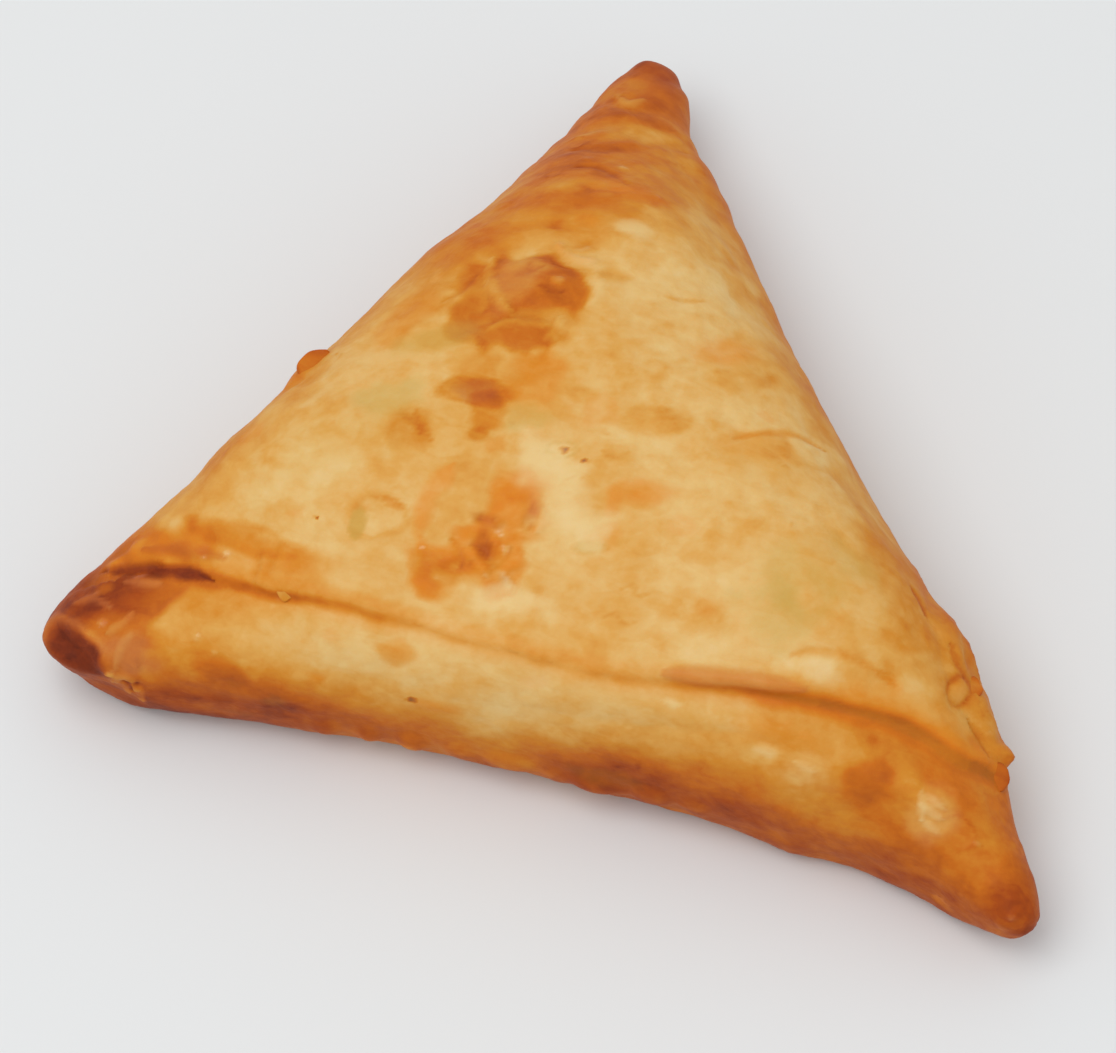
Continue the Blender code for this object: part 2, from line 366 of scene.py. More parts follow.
# Under the roll the skin has blistered into soft scallops.
for place, length, height in (
    ((-21.6, -38.8, 4.6), 3.4, 0.4), ((-17.4, -38.6, 4.6), 3.6, 0.6), ((-13.0, -38.2, 4.8), 3.8, 0.7),
    ((-8.4, -37.8, 5.0), 4.0, 0.35), ((-3.4, -37.6, 5.2), 6.0, 0.6), ((1.6, -37.4, 4.6), 3.0, 0.3),
    ((5.6, -37.2, 5.2), 6.4, 0.7), ((11.4, -37.2, 5.4), 4.4, 0.6), ((15.6, -37.2, 5.6), 3.6, 0.3),
):
    mark(dome(spot(place, length, 4.4, 3, 0.35)), height=height)


# The seam: the sheet's edge stands up a little and browns, and the line below it is darker, partly
# browner and partly painted shadow under the edge. It is strong on the left and at the tuck right of
# the middle, and hardly shows between them.
SEAM_X = (-40, -36, -26, -14, 4, 12, 20, 28, 44)
EDGE_HEIGHTS = (0.0, 0.3, 0.4, 0.15, 0.10, 0.3, 0.4, 0.2, 0.2)
EDGE_BROWNS = (0.0, 0.16, 0.18, 0.10, 0.06, 0.08, 0.10, 0.08, 0.06)
LINE_BROWNS_AND_SHADE = (0.0, 0.40, 0.34, 0.14, 0.08, 0.16, 0.30, 0.24, 0.16)
place_on_seam = seam_share * (len(seam) - 1)
edge_height, edge_brown, line_brown_and_shade = (
    np.interp(place_on_seam, np.arange(len(seam)), np.interp(seam[:, 0], SEAM_X, amounts))
    for amounts in (EDGE_HEIGHTS, EDGE_BROWNS, LINE_BROWNS_AND_SHADE)
)
lip = dome((behind_seam - 0.8) / 1.5) * (1 + 0.3 * COARSE)
mark(lip * edge_height, height=1.0)
mark(dome((behind_seam - 0.5) / 1.3) * edge_brown, brown_and_shading=1.0)
# The darker line below the edge: browning and painted shadow.
mark(dome((behind_seam + 0.4) / 0.8) * line_brown_and_shade, brown_and_shading=1.0, height=-0.3)
mark(dome((behind_seam + 0.2) / 2.0) * eased(-38.0, -30.0, x_of), oil=0.4)
# The groove on the right: browner, and painted shade in it.
groove = dome((behind_seam + 0.6 + 0.1 * COARSE) / 1.4) * eased(17.0, 23.0, x_of)
mark(groove, height=-0.1, brown_and_shading=0.26, oil=0.5)
right_fold = eased(20.0, 30.0, x_of)
left_fold = eased(-24.0, -31.0, x_of) * eased(-42.0, -36.0, x_of)
mark(dome((behind_seam + 1.8) / 3.0) * left_fold, brown_and_shading=0.09, oil=0.15)
mark(dome((behind_seam - 0.4) / 3.2) * right_fold, brown_and_shading=0.06, oil=0.4)
tuck_x = (11.4, 13.6, 16.0, 18.6, 21.4, 24.8)
tuck = line([(x, np.interp(x, *seam.T[:2]) + 0.5) for x in tuck_x], 1.9, 0.2)
mark(dome(tuck), height=0.35)
mark(within(tuck, 0.6), brown_and_shading=0.09, oil=0.5, scorch_and_sheen=0.28, flour_and_sheen=0.08)
crease = line(((22.4, -27.2), (24.2, -26.0), (27.1, -25.2), (29.6, -25.2), (32.6, -25.6)), 1.5)
mark(dome(crease), height=-0.16, brown_and_shading=0.12, oil=0.2)
mark(within(spot((25.1, -27.4), 6.0, 2.0, 8), 0.5), height=0.12, brown_and_shading=-0.12)

# The blister high on the left: golden brown all round, a swollen rosy middle, a torn rim.
torn = np.abs(MIDDLE) * 0.5 + np.abs(COARSE) * 0.5
blister = spot((-14.2, 2.0), 15.0, 11.5, 40, 1.5)
mark(within(blister, 0.22), brown_and_shading=0.19)
mark(within(blister, 0.4) * (0.9 - torn), height=0.22)
swelling = spot((-13.0, 3.7), 10.2, 8.4, 15, 0.9)
mark(dome(swelling), height=0.55)
mark(within(swelling, 0.14), brown_and_shading=0.13)
mark(within(spot((-12.6, 5.6), 6.4, 3.6, 10, 0.8), 0.3), brown_and_shading=0.05, scorch_and_sheen=0.18)
mark(within(spot((-9.9, 3.3), 4.6, 5.2, 30, 0.7), 0.2), brown_and_shading=0.13, oil=0.25)
mark(within(spot((-15.6, 3.6), 4.4, 6.0, -15, 0.7), 0.6), height=0.15, brown_and_shading=-0.10, flour_and_sheen=0.08)
# The light crescent on the blister's left is a raised ridge, painted lighter: partly a painted highlight.
mark(dome(line(((-18.7, 5.6), (-18.4, 3.4), (-17.2, 1.2), (-14.7, -0.9)), 1.7)), height=0.24, brown_and_shading=-0.15)
mark(dome(line(((-8.2, 6.2), (-7.4, 4.4), (-7.6, 2.0)), 2.2)), height=0.15, brown_and_shading=-0.09)
mark(dome(line(((-13.2, 8.8), (-12.4, 7.8), (-10.6, 7.2), (-8.6, 7.6)), 1.5)), height=0.3, brown_and_shading=-0.12, oil=0.5)
mark(dome(line(((-14.8, 6.8), (-13.4, 6.3), (-11.4, 6.0), (-9.0, 6.4)), 1.2)), height=-0.18, brown_and_shading=0.13)
mark(dome(line(((-14.8, 5.2), (-14.2, 4.4), (-13.4, 5.2)), 0.9)), height=-0.15, brown_and_shading=0.10)
mark(dome(line(((-13.0, 3.0), (-11.6, 2.4), (-10.2, 2.8)), 0.9)), height=-0.16, brown_and_shading=0.10)
# A small glint on the swelling: a raised bump, painted lighter as a highlight.
mark(dome(spot((-11.6, 3.9), 1.6, 1.1)), height=0.2, brown_and_shading=-0.16)
blister = spot((-13.2, -3.2), 6.8, 4.0, 14, 0.7)
mark(dome(blister), height=0.3)
toned_to(within(blister, 0.22), 0.64)
mark(dome(line(((-15.9, -3.4), (-14.4, -2.2), (-12.3, -1.8), (-10.4, -1.6)), 1.5)), height=0.22, brown_and_shading=-0.14)
mark(dome(line(((-9.8, -0.2), (-9.4, -1.8), (-10.4, -3.2)), 1.5)), height=0.22, brown_and_shading=-0.12)
mark(dome(line(((-22.0, -0.8), (-20.4, 1.0), (-19.6, 3.4)), 1.2)), height=-0.1, brown_and_shading=0.10)
mark(within(spot((-25.0, -2.6), 8.0, 5.0, 45, 1.2), 0.35), brown_and_shading=0.06, oil=0.35)
mark(within(spot((-15.4, 11.4), 17.0, 9.0, 32, 1.6), 0.5), brown_and_shading=0.14, oil=0.15)
mark(within(spot((-21.0, -5.8), 6.0, 3.4, 20, 0.9), 0.5), herb=0.45, brown_and_shading=0.05)
mark(within(spot((-26.5, -18.5), 16.0, 8.0, 45, 1.8), 0.6), herb=0.15, brown_and_shading=-0.10)
mark(within(spot((17.0, -8.0), 10.0, 5.0, 20, 1.6), 0.6), brown_and_shading=0.09)
mark(within(spot((-13.6, -7.6), 9.0, 4.0, 10, 1.2), 0.4), brown_and_shading=0.13, oil=0.1)
mark(within(spot((1.2, -3.0), 8.0, 4.6, 15, 1.2), 0.5), brown_and_shading=-0.10)
mark(within(spot((12.8, -28.4), 7.0, 3.4, -8, 0.8), 0.5), brown_and_shading=-0.10)

# The spots below it.
blister = spot((-15.4, -10.6), 6.6, 3.0, 8, 0.8)
mark(dome(blister), height=0.2)
mark(within(blister, 0.25), brown_and_shading=0.22)
mark(within(spot((-15.0, -10.5), 3.0, 2.4, 0, 0.6), 0.4), scorch_and_sheen=0.4)
mark(within(spot((-13.1, -12.8), 3.6, 3.4, -40, 0.7), 0.3), brown_and_shading=0.22, oil=0.2)
blister = spot((-13.1, -15.1), 2.6, 1.8, 10, 0.4)
mark(within(blister, 0.3), height=0.1, brown_and_shading=0.18)
mark(rim(blister, 1.0, 0.2), height=0.08, brown_and_shading=-0.05)
star = spot((-19.3, -15.6), 6.2, 4.4, 10, 0.9)
mark(within(star, 0.3), height=0.1, brown_and_shading=0.18)
arms = dome(line(((-21.4, -14.4), (-20.0, -15.0), (-18.4, -15.8), (-17.0, -16.9)), 1.3))
arms = np.maximum(arms, dome(line(((-19.8, -13.8), (-19.2, -15.2), (-18.2, -16.6)), 1.0)))
mark(arms, height=-0.12, brown_and_shading=0.13)
mark(within(spot((-8.4, -8.4), 6.6, 4.6, -50, 1.5), 0.6), brown_and_shading=0.12, oil=0.55)
mark(within(spot((-5.0, -8.2), 3.4, 1.6, 10, 0.6), 0.4), brown_and_shading=0.10)

# The orange blister that glistens, with the arm that curls round it.
blister = spot((-6.9, -21.6), 8.0, 6.2, -50, 1.3)
lobe = spot((-12.6, -27.4), 8.6, 4.8, 8, 1.4)
bridge = spot((-10.2, -24.9), 7.0, 5.0, 60, 1.4)
patch = spot((-6.9, -25.6), 5.2, 6.2, 10, 1.2)
orange = most_of(*(within(part, 0.35) for part in (blister, lobe, bridge, patch)))
orange = np.clip(orange, 0, 1)
mark(orange * (1 + 0.15 * MIDDLE + 0.10 * FINE), brown_and_shading=0.21, oil=0.9)
mark(orange * (0.5 * COARSE + MIDDLE + 0.5 * FINE), height=0.07, brown_and_shading=0.02)
mark(dome(blister) + dome(lobe), height=0.3)
mark(within(patch, 0.4) * (0.9 - torn), height=0.3)
for place, length, width, turn in (
    ((-12.4, -28.0), 5.6, 3.2, 10), ((-8.3, -26.0), 3.4, 2.2, 50), ((-5.2, -20.8), 2.0, 3.2, -10),
):
    mark(within(spot(place, length, width, turn, 1.3), 0.5), brown_and_shading=0.20, oil=-0.3)
mark(dome(line(((-12.6, -25.2), (-11.0, -26.2), (-10.4, -27.8)), 0.9)), height=-0.15, brown_and_shading=0.12)
arm = dome(line(((-14.2, -18.6), (-15.0, -20.2), (-15.7, -22.8), (-15.5, -25.2), (-14.4, -27.2)), 2.6, 0.5))
mark(arm, height=0.14, brown_and_shading=0.05, oil=0.7)
pit = np.minimum(spot((-10.1, -23.0), 2.6, 1.6, 10, 1.1), spot((-9.4, -24.4), 1.4, 2.6, 15, 1.1))
mark(dome(pit), height=-0.35)
mark(within(pit, 0.5), brown_and_shading=0.22, scorch_and_sheen=0.30)
mark(dome(line(((-6.0, -19.4), (-5.4, -21.0), (-5.2, -22.6)), 1.0)), height=-0.12, brown_and_shading=0.12)
# Glistening bumps: a glossy coat, and a lighter tint that is partly a painted highlight.
for place, size in (
    ((-7.9, -23.8), 1.1), ((-7.0, -25.0), 1.3), ((-6.4, -27.2), 1.1), ((-12.8, -28.9), 1.0),
    ((-14.8, -26.8), 0.8), ((-5.0, -25.4), 0.8), ((-8.3, -27.6), 0.8),
):
    bump = dome(spot(place, size, 0.5 * size, -40, 0.3))
    mark(bump, height=0.18, brown_and_shading=-0.14)
    mark(bump ** 2, wet=0.8)
for ridge in (
    ((-8.6, -22.6), (-7.6, -23.6), (-7.0, -25.2), (-7.2, -26.6)),
    ((-9.8, -26.4), (-8.8, -27.0), (-7.6, -28.0)),
    ((-4.6, -20.0), (-4.2, -21.6), (-4.6, -23.0)),
):
    mark(dome(line(ridge, 1.0)), height=0.2, brown_and_shading=-0.12)

# The ring beside it, the whitish band, which is a painted sheen, and the faint smears.
ring = spot((-20.0, -25.2), 6.4, 4.6, 5, 0.5)
mark(rim(ring, 0.95, 0.12), height=0.12, brown_and_shading=0.10)
mark(within(spot((-21.6, -26.2), 1.5, 3.6, 5, 0.3), 0.25), herb=0.7, brown_and_shading=0.12)
mark(within(spot((-18.8, -23.7), 2.8, 1.0, -10, 0.3), 0.3), brown_and_shading=0.18, oil=0.2)
# The whitish band is a painted sheen, laid on as the pale tint.
band = line(((-8.4, -13.6), (-6.6, -15.4), (-5.1, -17.2), (-3.2, -19.0), (-0.6, -20.6), (1.6, -22.6)), 5.0, 0.5)
mark(within(band, 0.8), flour_and_sheen=0.4, brown_and_shading=-0.08)
mark(within(spot((-4.8, -29.0), 7.0, 2.2, 10, 1.0), 0.4), flour_and_sheen=0.4, brown_and_shading=-0.08)
smear = spot((3.5, -8.2), 6.4, 3.2, 16, 0.5)
mark(within(smear, 0.3), brown_and_shading=0.13)
mark(dome(smear), height=0.12)
mark(rim(smear, 0.98, 0.12) * eased(-0.8, 0.6, MIDDLE), brown_and_shading=0.06, height=0.04)
mark(within(spot((12.0, -7.2), 10.0, 3.6, 20, 1.2), 0.4), brown_and_shading=0.13, oil=0.15)
smear = np.minimum(spot((3.9, -16.4), 4.8, 2.2, 22, 0.8), spot((1.8, -17.4), 3.0, 2.0, 60, 0.8))
mark(within(smear, 0.55), brown_and_shading=0.08, oil=0.6)
mark(dome(smear), height=0.12)
mark(within(spot((8.6, -18.6), 3.2, 2.2, 20, 0.6), 0.3), oil=0.35)
crack = spot((1.1, -22.7), 3.2, 1.3, 16, 0.3)
mark(rim(crack, 0.9, 0.22), brown_and_shading=0.10, height=0.05)
mark(within(crack, 0.3), herb=0.4)
streak = dome(line(((10.2, -7.5), (13.4, -5.0), (15.9, -3.5), (18.4, -2.9)), 1.3))
mark(streak, height=-0.16, brown_and_shading=0.16, oil=0.3)
mark(within(spot((6.3, 2.2), 7.0, 3.0, 36, 1.0), 0.7), brown_and_shading=0.06, oil=0.55)
mark(dome(line(((-1.6, 6.2), (0.4, 6.6), (2.6, 7.8)), 0.9)), height=-0.08, brown_and_shading=0.14)
for place, size in (((22.3, -18.6), 9.0), ((20.2, -24.6), 8.0), ((-23.6, -13.5), 6.0), ((-8.0, -11.8), 4.0)):
    mark(within(spot(place, size, size * 0.6, 25, 1.8), 0.7), herb=0.45)
mark(within(spot((13.6, -25.2), 3.0, 2.0, 10, 0.8), 0.4), brown_and_shading=0.10, oil=0.2)
for crack in (
    ((5.0, -25.6), (6.2, -25.0), (6.8, -25.8), (8.0, -25.2)),
    ((4.2, -28.4), (5.4, -27.8), (6.2, -28.6), (7.4, -28.0)),
    ((-3.2, -11.6), (-1.8, -11.2), (-0.6, -11.6)),
    ((-1.0, -13.2), (0.6, -13.6), (1.6, -12.6)),
):
    mark(dome(line(crack, 0.8)), height=-0.08, brown_and_shading=0.09)
for place, size in (((-4.4, -14.2), 0.7), ((-2.2, -14.8), 0.45), ((-25.7, -26.5), 0.4)):
    speck = within(spot(place, size, size * 0.7, 0, 0.1), 0.6)
    toned_to(speck, 1.0)
    mark(speck, herb=0.3)
mark(rim(spot((-4.6, -14.2), 2.8, 1.5, 12, 0.3), 0.95, 0.2), brown_and_shading=0.06, herb=0.4)

# Bands across the pinched back tip, and the orange marks under it.
band = np.cos(2 * np.pi * (from_back_tip + 0.5 * COARSE) / 5.0)
mark(band * eased(26.0, 10.0, from_back_tip), height=0.12)
mark(within(spot((-12.8, 38.0, 10.0), 6.0, 8.0, 20, 0.8), 0.6), brown_and_shading=0.10, scorch_and_sheen=0.25)
# A light pinkish patch and a crescent left of the tip: painted highlights, the crescent on a raised ridge.
mark(within(spot((-16.5, 36.6, 11.2), 5.4, 3.6, 20, 0.8), 0.6), brown_and_shading=-0.12, scorch_and_sheen=0.12)
crescent = line(((-17.0, 35.4, 12.0), (-15.2, 34.2, 12.9), (-13.8, 35.2, 12.4)), 1.3)
mark(dome(crescent), height=0.3, brown_and_shading=-0.13, flour_and_sheen=0.06, scorch_and_sheen=0.1)
mark(dome(line(((-17.6, 31.0, 13.0), (-13.6, 32.4, 13.6), (-9.6, 32.8, 12.4)), 3.4)), brown_and_shading=0.10)
mark(dome(line(((-18.0, 27.4, 15.0), (-13.6, 29.0, 15.4), (-8.6, 31.6, 12.6)), 3.6)), height=0.12, brown_and_shading=-0.09)
mark(dome(line(((-17.4, 24.6, 17.0), (-13.2, 25.6, 17.4), (-7.6, 30.2, 12.6)), 2.2)), height=-0.15, brown_and_shading=0.07)
mark(within(spot((-8.0, 18.4), 4.6, 2.8, 10, 0.8), 0.6), brown_and_shading=0.12, oil=0.5)
mark(within(spot((-12.8, 19.6), 5.0, 2.2, 12, 0.8), 0.5), brown_and_shading=0.10, oil=0.2)
mark(dome(line(((-15.8, 20.8), (-13.6, 21.6), (-11.2, 20.6), (-9.6, 19.4)), 1.2)), height=-0.15, brown_and_shading=0.10)
mark(within(spot((-7.2, 13.0), 4.0, 2.4, 15, 0.8), 0.5), flour_and_sheen=0.35, brown_and_shading=-0.12)

rng = np.random.default_rng(11)

# The left end: the wrinkled edge of the sheet, the brown nose, and the open end of the roll.
wrinkle = np.cos(2 * np.pi * (place_on_seam * SEAM_STEP + 1.2 * COARSE) / 3.6)
gathered = dome((behind_seam - 2.6) / 2.6) * eased(-20.0, -28.0, x_of)
mark(wrinkle * gathered, height=0.13, brown_and_shading=-0.03)
mark(gathered, brown_and_shading=0.18, oil=0.45)
patch = spot((-32.5, -28.9), 15.0, 3.0, 2, 0.8)
mark(within(patch, 0.2), brown_and_shading=0.17, oil=0.15)
mark(dome(patch), height=0.08)
mark(within(spot((-42.0, -30.4), 12.0, 6.0, 12, 1.5), 0.5), brown_and_shading=0.18, oil=0.3)
# Under the sheet's edge on the left the fold is sunk; its dark brown is browning and painted shadow.
fold = line(
    (
        (-47.0, -32.4, 11.4), (-45.1, -32.8, 13.0), (-43.0, -32.5), (-40.1, -32.3), (-37.5, -32.3),
        (-34.6, -32.6),
    ),
    2.0,
)
mark(dome(fold), height=-0.35)
# A painted purple sheen above the fold.
sheen = dome(line(((-43.2, -30.6), (-40.4, -30.4), (-37.4, -30.3), (-34.2, -30.6)), 2.0))
mark(sheen, height=0.25, brown_and_shading=0.14, scorch_and_sheen=0.30)
cap_end = ((-33.6, -33.3), (-36.7, -33.9), (-38.2, -35.8), (-39.7, -37.5), (-39.8, -39.6), (-39.6, -41.8, 7.0))
far, side, _ = to_line([tuple(on_skin(place)) for place in cap_end], P)
from_cap_end = -side * far + 0.25 * COARSE
capped = eased(-0.2, 0.6, from_cap_end) * eased(0.9, 0.1, behind_seam) * eased(-30, -34, x_of)
mark(capped * eased(8.5, 11.5, P[:, 2]), height=0.35)
cap_brown = capped * eased(2.0, 9.0, P[:, 2] + 0.8 * COARSE)
toned_to(cap_brown, 0.68)
toned_to(cap_brown * eased(0.8, 5.0, from_cap_end), 0.82)
nose = spot((-49.4, -35.6, 10.0), 13.0, 13.0, 0, 1.0)
toned_to(within(nose, 0.6), 0.88)
# The fold's dark brown: browning and painted shadow under the sheet's edge.
toned_to(dome(fold) ** 0.6, 0.91)
oily *= 1 - dome(fold)
toned_to(within(spot((-42.4, -39.6, 11.8), 8.0, 5.4, 10, 0.8), 0.5), 0.66)
mark(within(spot((-40.6, -40.6, 11.0), 4.6, 3.8, 10, 0.8), 0.5), scorch_and_sheen=0.15, flour_and_sheen=0.1)
mark(dome(spot((-46.4, -43.4, 4.5), 15.0, 9.0, -20, 0.1)), height=-1.4)
# The open end of the roll, sunk and nearly the darkest brown: browning, and painted shade inside it.
hollow = spot((-46.8, -41.0, 10.2), 7.4, 4.0, -24, 0.3)
mark(dome(hollow), height=-1.0)
toned_to(within(hollow, 0.2), 0.95)
mark(rim(hollow, 1.15, 0.16) * eased(-42.0, -39.5, y_of), height=0.3, brown_and_shading=-0.08, flour_and_sheen=0.06)
# Raised crinkles, lighter and pinkish: partly painted highlights.
for crinkle in (
    ((-48.0, -36.8, 11.2), (-46.2, -36.2, 12.2), (-44.0, -36.8, 12.8)),
    ((-43.8, -34.2, 13.6), (-41.8, -33.9, 14.2), (-39.8, -33.7, 14.8)),
    ((-43.6, -39.2, 12.0), (-42.4, -38.2, 12.8), (-41.6, -36.8, 13.2)),
    ((-42.2, -41.6, 10.0), (-41.8, -40.0, 11.8), (-41.0, -38.6, 12.8)),
    ((-42.8, -42.4, 8.0), (-41.4, -41.8, 9.2), (-40.0, -42.0, 8.6)),
):
    mark(dome(line(crinkle, 1.3)), height=0.3, brown_and_shading=-0.10, scorch_and_sheen=0.15, flour_and_sheen=0.06)
for place, size in (
    ((-42.2, -42.1, 7.8), 1.7), ((-41.2, -42.1, 6.2), 1.2), ((-40.3, -42.0, 7.4), 2.0), ((-39.6, -41.8, 5.4), 1.3),
    ((-42.8, -42.0, 9.2), 1.1), ((-39.0, -41.6, 8.2), 1.0),
):
    crumb = dome(spot(place, size, 0.6 * size, rng.uniform(-40, 60), 0.6))
    mark(crumb, height=0.35, brown_and_shading=-0.26, flour_and_sheen=0.12)
# Dark gaps between the crumbs: painted shade.
for gap in (
    ((-41.6, -42.0, 8.8), (-40.9, -42.0, 8.2), (-40.7, -42.0, 6.8)),
    ((-40.2, -41.8, 8.8), (-39.8, -41.7, 8.0)),
):
    mark(dome(line(gap, 0.9)), height=-0.3, brown_and_shading=0.30)

# Small wet bumps that catch the light: a glossy coat on each, and a lighter top that is a painted
# highlight.
for place, size in (
    ((-11.2, 3.9), 1.0), ((-10.8, 8.4), 1.2), ((-15.1, 22.6), 1.3), ((-11.4, 22.5), 1.2), ((-6.6, 19.1), 1.2),
    ((-12.6, 8.6), 1.0), ((-10.2, 9.0), 1.0), ((-45.9, -35.5, 12.1), 1.2), ((-42.5, -33.3, 14.3), 1.3),
    ((-44.6, -38.4, 12.2), 1.0), ((-32.6, -39.1, 13.7), 1.1), ((-27.3, -33.7, 18.0), 1.0), ((-34.8, -38.4, 14.6), 0.9),
    ((-36.4, -31.0, 17.0), 0.9), ((-34.2, -30.4, 18.0), 0.8), ((49.1, -41.2, 8.9), 1.2), ((44.0, -36.0, 12.5), 0.8),
    ((-42.6, -41.4, 9.6), 0.9), ((-40.4, -41.6, 9.4), 0.8), ((36.4, -19.4, 15.4), 0.9), ((41.0, -24.6, 12.4), 0.9),
):
    bump = dome(spot(place, size, size * 0.7, 15, 0.3))
    mark(bump, height=0.2)
    mark(bump ** 2, brown_and_shading=-0.08, wet=0.7)

# The roll's own marks.
for place, size, tone in (
    ((-31.8, -40.0, 11.8), (4.6, 3.2), 0.18), ((-29.6, -40.3, 9.4), (8.0, 2.6), 0.08),
    ((-26.0, -39.9, 10.2), (3.0, 2.4), 0.08), ((-14.8, -36.0, 18.0), (3.4, 1.8), 0.18),
    ((-22.0, -38.7, 13.4), (2.4, 1.6), 0.12), ((-12.4, -29.9, 21.4), (5.0, 1.8), 0.18),
    ((6.0, -37.4, 7.5), (7.0, 2.4), 0.12), ((32.5, -35.0, 16.2), (4.6, 3.4), 0.16),
    ((-10.0, -37.8, 13.0), (5.0, 1.8), 0.06), ((41.0, -31.6, 14.5), (7.0, 3.0), 0.10),
    ((22.0, -33.0, 17.6), (8.0, 3.0), 0.08),
):
    patch = spot(place, *size, 3, 0.9)
    mark(within(patch, 0.55), brown_and_shading=tone, oil=0.35)
    mark(dome(patch), height=0.1)
for place, size in (
    ((39.4, -35.8, 14.6), (3.6, 5.0)), ((26.6, -35.6, 15.8), (5.4, 3.4)), ((22.6, -34.6, 16.8), (2.6, 1.2)),
    ((12.6, -33.4, 18.6), (1.4, 0.8)),
):
    patch = spot(place, *size, 0, 0.7)
    mark(within(patch, 0.6), flour_and_sheen=0.14, brown_and_shading=-0.10)
    mark(dome(patch), height=0.1)
# White stripes on the pale flakes: painted glints, with a little gloss.
for stripe in (
    ((38.4, -34.0, 15.6), (39.4, -34.2, 15.2), (40.4, -34.6, 14.8)),
    ((38.0, -35.2, 15.2), (39.2, -35.6, 14.8), (40.4, -35.8, 14.4)),
    ((38.4, -36.8, 14.2), (39.4, -37.0, 13.8), (40.4, -37.2, 13.4)),
    ((37.8, -33.8, 15.8), (38.2, -35.2, 15.2), (38.4, -36.8, 14.2)),
    ((25.4, -34.6, 16.4), (27.6, -35.0, 16.0)),
):
    stripe = dome(line(stripe, 1.2))
    mark(stripe, height=0.12, flour_and_sheen=0.18, brown_and_shading=-0.05, wet=0.1)
fuzz = spot((-12.6, -38.0, 13.2), 1.0, 0.6, 10, 0.1)
toned_to(within(fuzz, 0.4), 1.0)
mark(within(fuzz, 0.4), herb=0.3)

# The pinched right edge of the sheet, which stands out and ruffles, with one open blister on it.
ruffle = ((31.5, -12.0, 13.5), (34.0, -15.0, 13.5), (36.5, -18.5, 13.0), (39.0, -22.0, 11.5), (42.0, -26.0, 9.5))
ruffle = dome(line(ruffle, 9.0, 0.1)) * eased(-11.0, -17.0, y_of)
mark(ruffle, height=1.3, brown_and_shading=0.05)
mark(ruffle * (0.10 * MIDDLE + 0.22 * COARSE), height=1.0)
ring = spot((37.8, -22.2, 15.2), 2.6, 3.4, 0, 0.3)
mark(rim(ring, 1.0, 0.28), height=-0.18, brown_and_shading=0.18)
mark(dome(ring), height=0.15, brown_and_shading=-0.04, oil=0.3)
for crease in (
    ((35.0, -18.4, 16.0), (36.4, -19.8, 15.6), (37.8, -20.4, 14.6)),
    ((30.6, -14.0, 18.4), (31.8, -15.2, 17.8), (32.6, -16.6, 17.4)),
    ((39.4, -24.2, 14.0), (40.6, -25.4, 13.0), (41.8, -26.6, 12.0)),
):
    mark(dome(line(crease, 1.3)), height=-0.2, brown_and_shading=0.16)
mark(dome(spot((3.0, 18.0, 13.0), 16.0, 8.0, 120, 0.2)), height=0.6)
mark(dome(spot((-4.0, 27.0, 11.0), 24.0, 9.0, 120, 0.2)), height=0.7)

# The browned lump on the left edge.
lump = spot((-33.6, -8.8, 18.0), 6.4, 4.0, 59, 0.4)
mark(dome(lump), height=0.7)
mark(within(lump, 0.4), brown_and_shading=0.14, oil=0.3)

# Small blisters and stains all over, drawn at random: wider than high, most of them hardly raised.
SMALL_BLISTERS = 420
for index in rng.integers(0, len(P), SMALL_BLISTERS):
    size = rng.uniform(1.4, 5.0) * rng.uniform(0.6, 1.0)
    stretch = rng.uniform(0.4, 0.8)
    turn = rng.normal(17.0, 20.0)
    reach = spot(tuple(P[index]), size, size * stretch, turn, 0.9)
    kind, strong = rng.random(), rng.random()
    broken = eased(-0.4, 0.7, MIDDLE * rng.choice((-1.0, 1.0)))
    if kind < 0.3:
        mark(dome(reach), height=0.04 + 0.12 * strong)
        mark(within(reach, 0.25), brown_and_shading=rng.uniform(-0.04, 0.06))
    elif kind < 0.5:
        mark(rim(reach, 0.9, 0.16) * broken, height=0.03 + 0.06 * strong, brown_and_shading=0.03 + 0.07 * strong)
    else:
        mark(within(reach, 0.15 + 0.3 * strong), brown_and_shading=rng.uniform(-0.06, 0.07), oil=0.3 * (kind > 0.88))

P = P + N * rise[:, None]
P[:, 2] = np.maximum(P[:, 2], 0.0)

# The back tip is blunt and pinched to the right.
blunt = 1 - eased(2.0, 11.0, from_back_tip)
P[:, 0] += 1.1 * blunt * eased(-0.2, 0.7, N[:, 0])
P[:, 1] += 1.2 * blunt * eased(0.0, 0.8, N[:, 1])

skin.vertices.foreach_set("co", (P * MM).astype(np.float32).ravel())
for name, values in (
    ("browning_and_shading", browning_and_shading), ("oily", oily), ("herby", herby), ("floury_and_sheen", floury_and_sheen), ("scorched_and_sheen", scorched_and_sheen),
    ("glistening", glistening),
):
    layer = skin.attributes.new(name, "FLOAT", "POINT")
    layer.data.foreach_set("value", np.clip(values, 0, 1).astype(np.float32))
skin.update()


